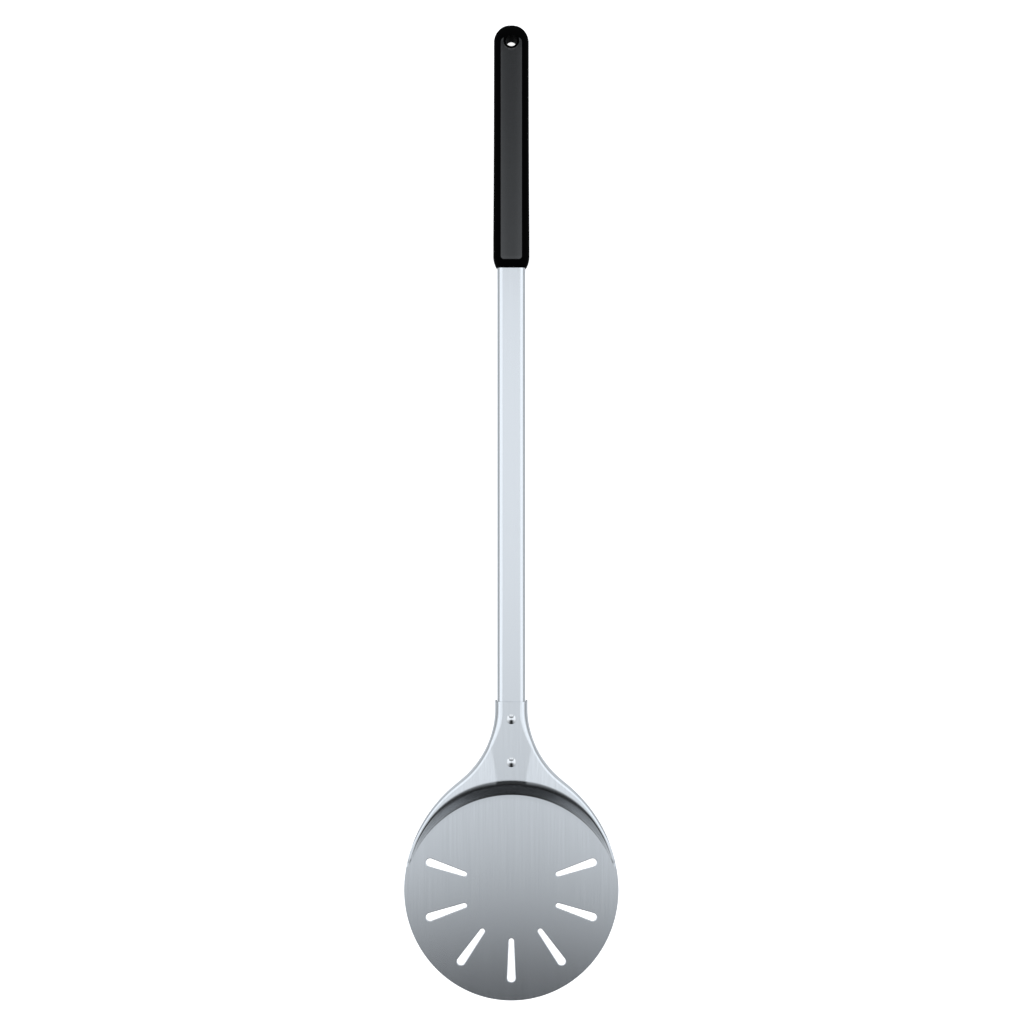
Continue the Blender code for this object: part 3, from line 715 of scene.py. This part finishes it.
def make_head(mat):
    """Half of the upper face, mirrored, thickened, rounded at its edges and slotted."""
    bm = loft(*head_grids())
    lay_grain(bm)
    head = finish_piece("head_sheet", bm, mat, sharp=60)
    half = head.modifiers.new("other_half", "MIRROR")
    half.merge_threshold = MIRROR_WELD
    shell = head.modifiers.new("thickness", "SOLIDIFY")
    shell.thickness = SHEET
    shell.offset = -1.0
    shell.use_quality_normals = True
    round_edges(head, SHEET_EDGE)
    bake(head)
    carve(head, slot_cutter(mat))
    even_normals(head)
    stands_for(head, "head")


# ---------------------------------------------------------------- tube and rivets

def rounded_rectangle(half_width, half_depth, corner):
    """Points of a rounded rectangle, anticlockwise."""
    points = []
    for quarter in range(4):
        side_x = 1 if quarter in (0, 3) else -1
        side_y = 1 if quarter in (0, 1) else -1
        for k in range(TUBE_CORNER_STEPS + 1):
            angle = (quarter + k / TUBE_CORNER_STEPS) * pi / 2
            x = side_x * (half_width - corner) + corner * cos(angle)
            y = side_y * (half_depth - corner) + corner * sin(angle)
            points.append((x, y))
    return points


def tube_ring(inset, y):
    """The tube's outline at a station, inset from its outer face."""
    outline = rounded_rectangle(TUBE_HALF_WIDTH - inset, TUBE_HALF_DEPTH - inset,
                                TUBE_CORNER - inset)
    return [(x, y, TUBE_Z + z) for x, z in outline]


def make_tube(mat):
    """The tube's wall: outer rings one way, inner rings back, and round to the first ring."""
    length = tube_high.y - tube_low.y
    stations = [tube_low.y + length * k / TUBE_STATIONS for k in range(TUBE_STATIONS + 1)]
    rings = [tube_ring(0.0, y) for y in stations]
    rings += [tube_ring(TUBE_WALL, y) for y in reversed(stations)]
    loops = [[*ring, ring[0]] for ring in [*rings, rings[0]]]
    bm = loft(loops)
    bmesh.ops.recalc_face_normals(bm, faces=bm.faces)
    lay_grain(bm)
    tube = finish_piece("tube_extrusion", bm, mat)
    round_edges(tube, TUBE_EDGE)
    even_normals(tube)
    stands_for(tube, "handle_tube")


def make_rivet(place, mat):
    """Domed rivet from the neck's top to its formed tail under the washer."""
    low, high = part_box("rivet_" + place)
    centre_y = (low.y + high.y) / 2
    seat = NECK_TOP + HAIR
    dome_r = (RIVET_HEAD_R ** 2 + RIVET_DOME ** 2) / (2 * RIVET_DOME)
    rise = 90 - atan2(RIVET_HEAD_R, dome_r - RIVET_DOME) / DEGREE
    tail_top = low.z + TAIL_HEIGHT
    corner = (TAIL_R - TAIL_TAPER - TAIL_ROUND, low.z + TAIL_ROUND)
    profile = arc((0.0, seat + RIVET_DOME - dome_r), dome_r, 90, rise, DOME_STEPS)
    profile += [(RIVET_HEAD_R - RIVET_RIM, seat), (RIVET_SHANK_R, seat), (RIVET_SHANK_R, tail_top),
                (TAIL_R - TAIL_CHAMFER_R, tail_top), (TAIL_R, tail_top - TAIL_CHAMFER_Z)]
    profile += arc(corner, TAIL_ROUND, -20, -90, TAIL_ROUND_STEPS)
    profile += [(DIMPLE_R, low.z), (0.0, low.z + DIMPLE)]
    rivet = turned("rivet_body_" + place, profile, mat, (0.0, centre_y, 0.0))
    stands_for(rivet, "rivet_" + place)


def make_washer(place, mat):
    """Flat washer with chamfered outer edges."""
    low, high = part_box("rivet_washer_" + place)
    centre_y = (low.y + high.y) / 2
    outer = (high.x - low.x) / 2
    inner = RIVET_SHANK_R + HAIR
    rim = outer - WASHER_EDGE
    profile = [(inner, high.z), (rim, high.z), (outer, high.z - WASHER_EDGE),
               (outer, low.z + WASHER_EDGE), (rim, low.z), (inner, low.z)]
    washer = turned("washer_" + place, profile, mat, (0.0, centre_y, 0.0), closed=True)
    stands_for(washer, "rivet_washer_" + place)


# ---------------------------------------------------------------- grip

def mouth_rounding(y):
    """0 along the grip and 1 at its mouth, following a rounded chamfer."""
    share = min(max(1 - (y - GRIP_MOUTH_Y) / MOUTH_ROUND, 0.0), 1.0)
    return 1 - (1 - share ** MOUTH_POWER) ** (1 / MOUTH_POWER)


def grip_half_width(y):
    """Half-width of the grip in plan: round hanging end, slight swell, rounded mouth."""
    end_centre = GRIP_END_Y - GRIP_END_R
    if y > end_centre:
        return sqrt(max(GRIP_END_R ** 2 - (y - end_centre) ** 2, 0.0))
    swell = min((end_centre - y) / GRIP_SWELL_RUN, 1.0)
    return GRIP_END_R + GRIP_SWELL * swell ** 2 - MOUTH_DROP * mouth_rounding(y)


def grip_half_depth(y):
    """Half-thickness of the grip: constant, rolling off at the hanging end and the mouth."""
    nose = max((y - GRIP_END_Y) / NOSE_RUN + 1, 0.0)
    roll = (1 - min(nose, 1.0) ** NOSE_POWER) ** (1 / NOSE_POWER)
    return GRIP_HALF_DEPTH * roll - MOUTH_SINK * mouth_rounding(y)


def grip_surface(x, y):
    """Height of the grip's face above its middle plane."""
    across = min(abs(x) / grip_half_width(y), 1.0)
    return grip_half_depth(y) * (1 - across ** GRIP_SECTION) ** (1 / GRIP_SECTION)


def grip_ring(y):
    """The grip's section at a station: a superellipse."""
    ring = []
    for k in range(ROUND):
        angle = 2 * pi * k / ROUND
        x, z = cos(angle), sin(angle)
        size = (abs(x) ** GRIP_SECTION + abs(z) ** GRIP_SECTION) ** (1 / GRIP_SECTION)
        ring.append((grip_half_width(y) * x / size, y, TUBE_Z + grip_half_depth(y) * z / size))
    return ring


def grip_stations():
    """Stations along the grip, closer together where its ends are rounded."""
    mouth = [GRIP_MOUTH_Y + MOUTH_ROUND * (1 - cos(pi / 2 * k / MOUTH_STATIONS))
             for k in range(MOUTH_STATIONS + 1)]
    straight_end = GRIP_END_Y - NOSE_RUN
    straight = [mouth[-1] + (straight_end - mouth[-1]) * k / STRAIGHT_STATIONS
                for k in range(1, STRAIGHT_STATIONS + 1)]
    nose = [straight_end + (NOSE_RUN - NOSE_CAP) * sin(pi / 2 * k / NOSE_STATIONS)
            for k in range(1, NOSE_STATIONS + 1)]
    return mouth + straight + nose


def inlay_half_width(y, margin):
    """Half-width of the inlay's outline, a rectangle with small and large round corners."""
    half = INLAY_HALF_WIDTH + margin
    corner = INLAY_CORNER + margin
    start = INLAY_START_Y - margin
    if y < start + corner:
        return half - corner + sqrt(max(corner ** 2 - (start + corner - y) ** 2, 0.0))
    corner = HORN_CORNER + margin
    end = INLAY_END_Y + margin
    if y > end - corner:
        return half - corner + sqrt(max(corner ** 2 - (y - end + corner) ** 2, 0.0))
    return half


def inlay_plate(name, side, margin, lift, thickness, mat):
    """A curved plate that follows the grip's face; side is +1 for the top and -1 below."""
    start = INLAY_START_Y - margin
    end = INLAY_END_Y + margin
    front, rear = INLAY_CORNER + margin, HORN_CORNER + margin
    straight = end - rear - start - front
    stations = [start + front * (1 - cos(pi / 2 * k / INLAY_CORNER_STATIONS))
                for k in range(INLAY_CORNER_STATIONS)]
    stations += [start + front + straight * k / INLAY_STATIONS for k in range(INLAY_STATIONS)]
    stations += [end - rear * (1 - sin(pi / 2 * k / HORN_STATIONS))
                 for k in range(HORN_STATIONS + 1)]
    rows = []
    for y in reversed(stations):
        half = inlay_half_width(y, margin)
        across = [half * (2 * k / INLAY_COLUMNS - 1) for k in range(INLAY_COLUMNS + 1)]
        rows.append([(x, y, TUBE_Z + side * (grip_surface(x, y) + lift)) for x in across])
    bm = loft(rows)
    extruded = bmesh.ops.extrude_face_region(bm, geom=list(bm.faces))["geom"]
    moved = [item for item in extruded if isinstance(item, bmesh.types.BMVert)]
    bmesh.ops.translate(bm, verts=moved, vec=(0.0, 0.0, -side * thickness))
    bmesh.ops.recalc_face_normals(bm, faces=bm.faces)
    return finish_piece(name, bm, mat)


def upright_cutter(radius, mat):
    """A vertical round bar through the hanging hole's axis."""
    reach = 30 * MM
    profile = [(0.0, reach), (radius, reach), (radius, -reach), (0.0, -reach)]
    return turned("bar_cutter", profile, mat, (0.0, HANG_Y, TUBE_Z))


def hanging_hole_cutter(mat):
    """Bore with a rounded countersink at both faces."""
    face = grip_half_depth(HANG_Y)
    reach = face + 5 * MM
    wide = HANG_R + HANG_EDGE
    widest = wide + 2 * MM
    upper = arc((wide, face - HANG_EDGE), HANG_EDGE, 90, 180, COUNTERSINK_STEPS)
    lower = arc((wide, HANG_EDGE - face), HANG_EDGE, 180, 270, COUNTERSINK_STEPS)
    profile = [(0.0, reach), (widest, reach), (widest, face + HAIR), *upper, *lower,
               (widest, -face - HAIR), (widest, -reach), (0.0, -reach)]
    return turned("hole_cutter", profile, mat, (0.0, HANG_Y, TUBE_Z))


def socket_cutter(mat):
    """Socket for the tube, a hair wider than it."""
    front = GRIP_MOUTH_Y - 5 * MM
    rear = tube_high.y + HAIR
    rings = [tube_ring(-HAIR, rear - (rear - front) * k / SOCKET_STATIONS)
             for k in range(SOCKET_STATIONS + 1)]
    bm = loft(rings, closed=True)
    bmesh.ops.recalc_face_normals(bm, faces=bm.faces)
    return finish_piece("socket_cutter", bm, mat)


def make_grip(body_mat, inlay_mat):
    """The grip with its socket, recesses and hanging hole, and an inlay in each recess."""
    body = finish_piece("grip_shell", loft([grip_ring(y) for y in grip_stations()], closed=True),
                        body_mat)
    carve(body, socket_cutter(body_mat))
    above = 2.0 * MM
    for place, side in (("front", 1), ("back", -1)):
        recess = inlay_plate("recess", side, INLAY_GAP, above, above + INLAY_THICK + INLAY_GAP,
                             body_mat)
        carve(recess, upright_cutter(BOSS_R, body_mat))
        carve(body, recess)
        inlay = inlay_plate("inlay_" + place, side, 0.0, 0.0, INLAY_THICK, inlay_mat)
        carve(inlay, upright_cutter(BOSS_R + INLAY_GAP, inlay_mat))
        even_normals(inlay)
        stands_for(inlay, "grip_inlay_" + place)
    carve(body, hanging_hole_cutter(body_mat))
    even_normals(body)
    stands_for(body, "grip_body")


# ---------------------------------------------------------------- stage

FLOOR_HALF_SIZE = 4.0
FLOOR_GAP = 0.3 * MM        # keeps the floor clear of the blade's underside
CAMERA_PLACE = (0.55 * MM, 313.6 * MM, 1181.8 * MM)  # straight above, looking down
CAMERA_LENS = 50.0
CAMERA_SENSOR = 36.0


def make_floor():
    """A floor that lights up the studio but isn't mirrored in the metal."""
    bm = bmesh.new()
    bmesh.ops.create_grid(bm, x_segments=1, y_segments=1, size=FLOOR_HALF_SIZE)
    floor = finish_piece("floor", bm, floor_material())
    floor.location.z = -FLOOR_GAP
    floor.visible_glossy = False


# Studio light by direction: overhead from front (-Y) to back, then its changes towards the
# sides and the horizon. A position is a sine, from -1 to 1.
FRONT = ((-1.0, 0.01), (-0.84, 0.01), (-0.7, 0.02), (-0.5, 0.02), (-0.38, 0.01), (-0.34, 0.01),
         (-0.315, 0.018), (-0.30, 0.065), (-0.28, 0.235), (-0.265, 0.325), (-0.25, 0.405),
         (-0.23, 0.485), (-0.20, 0.57), (-0.17, 0.58), (-0.13, 0.595), (-0.10, 0.635),
         (-0.05, 0.68), (0.0, 0.705), (0.1, 0.72), (0.18, 0.73), (1.0, 0.73))
FRONT_LEAN = ((0.0, 0.0), (0.05, 0.004), (0.12, 0.01), (0.25, 0.05), (0.4, 0.12), (0.7, 0.2),
              (1.0, 0.25))
GLOW = ((0.0, 0.01), (0.2, 0.03), (0.36, 0.17), (0.46, 0.28), (0.54, 0.36), (0.64, 0.46),
        (0.79, 0.50), (0.9, 0.55), (1.0, 0.6))
BACK = ((-1.0, 1.0), (0.17, 1.0), (0.21, 0.74), (0.25, 0.5), (0.30, 0.3), (0.36, 0.18),
        (0.42, 0.18), (0.55, 0.6), (0.7, 1.0), (1.0, 1.0))
BACK_LEAN = ((0.0, 0.0), (0.25, 0.01), (0.45, 0.06), (0.6, 0.5), (0.8, 1.0), (1.0, 1.2))
SIDES = ((0.0, 0.76), (0.05, 1.16), (0.1, 1.42), (0.2, 1.43), (0.3, 1.4), (0.4, 1.35),
         (0.6, 1.42), (0.8, 1.5), (0.93, 1.15), (1.0, 0.9))
HORIZON = ((-1.0, 0.6), (-0.1, 0.55), (0.0, 0.42), (0.1, 0.5), (0.25, 0.8), (0.4, 1.0), (1.0, 1.0))
LIGHT_TINT = (0.955, 1.0, 1.05)


def make_world():
    """A studio drawn by direction, with a plain white backdrop."""
    world = bpy.data.worlds.new("studio")
    bpy.context.scene.world = world
    world.use_nodes = True
    world.node_tree.nodes.clear()
    nodes = Nodes(world.node_tree)
    split = nodes.add("SeparateXYZ")
    nodes.link(nodes.add("TexCoord").outputs["Generated"], split.inputs[0])
    aside = nodes.math("ABSOLUTE", split.outputs["X"])
    front = nodes.math("ADD", split.outputs["Y"], nodes.profile(aside, FRONT_LEAN))
    back = nodes.math("SUBTRACT", split.outputs["Y"], nodes.profile(aside, BACK_LEAN))
    panel = nodes.math("MAXIMUM", nodes.profile(front, FRONT), nodes.profile(aside, GLOW))
    for value, points in ((back, BACK), (aside, SIDES), (split.outputs["Z"], HORIZON)):
        panel = nodes.math("MULTIPLY", panel, nodes.profile(value, points))
    light = nodes.add("Background")
    light.inputs["Color"].default_value = (*LIGHT_TINT, 1.0)
    nodes.link(panel, light.inputs["Strength"])
    backdrop = nodes.add("Background")
    backdrop.inputs["Color"].default_value = (1.0, 1.0, 1.0, 1.0)
    shown = nodes.add("MixShader")
    nodes.link(nodes.add("LightPath").outputs["Is Camera Ray"], shown.inputs[0])
    nodes.link(light.outputs[0], shown.inputs[1])
    nodes.link(backdrop.outputs[0], shown.inputs[2])
    output = nodes.add("OutputWorld")
    nodes.link(shown.outputs[0], output.inputs[0])


def make_camera():
    """A camera above the middle of the peel that looks straight down."""
    data = bpy.data.cameras.new("camera")
    data.lens = CAMERA_LENS
    data.sensor_width = CAMERA_SENSOR
    camera = bpy.data.objects.new("camera", data)
    camera.location = CAMERA_PLACE
    bpy.context.scene.collection.objects.link(camera)
    bpy.context.scene.camera = camera


def repaint(node, mat):
    """Give a CAD node that stays as it is a better material."""
    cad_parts[node].material_slots[0].material = mat


blade_metal = brushed_metal("blade_aluminium", (0.815, 0.84, 0.865), (0.91, 0.935, 0.96), 0.18, 0.6)
tube_metal = brushed_metal("tube_aluminium", (0.86, 0.885, 0.91), (0.91, 0.935, 0.96), 0.18, 0.6)
rivet_metal = polished_metal("rivet_aluminium", (0.88, 0.89, 0.90), 0.12)
washer_metal = polished_metal("washer_steel", (0.60, 0.60, 0.61), 0.3)
pin_metal = polished_metal("pin_steel", (0.50, 0.50, 0.52), 0.3)
insert_plastic = moulded_plastic("insert_nylon", (0.05, 0.05, 0.053), 0.5, 0.4)
grip_plastic = moulded_plastic("grip_nylon", (0.0007, 0.0007, 0.0008), 0.6, 0.02)
inlay_rubber = textured_rubber("inlay_rubber", (0.001, 0.0013, 0.0016), (0.0075, 0.0083, 0.0094),
                               0.24)

make_camera()
make_world()
make_floor()
make_head(blade_metal)
make_tube(tube_metal)
for rivet_place in RIVETS:
    make_rivet(rivet_place, rivet_metal)
    make_washer(rivet_place, washer_metal)
make_grip(grip_plastic, inlay_rubber)
repaint("neck_insert", insert_plastic)
for pin_place in ("front", "rear"):
    repaint("grip_pin_" + pin_place, pin_metal)

bpy.context.scene.view_settings.view_transform = "Standard"
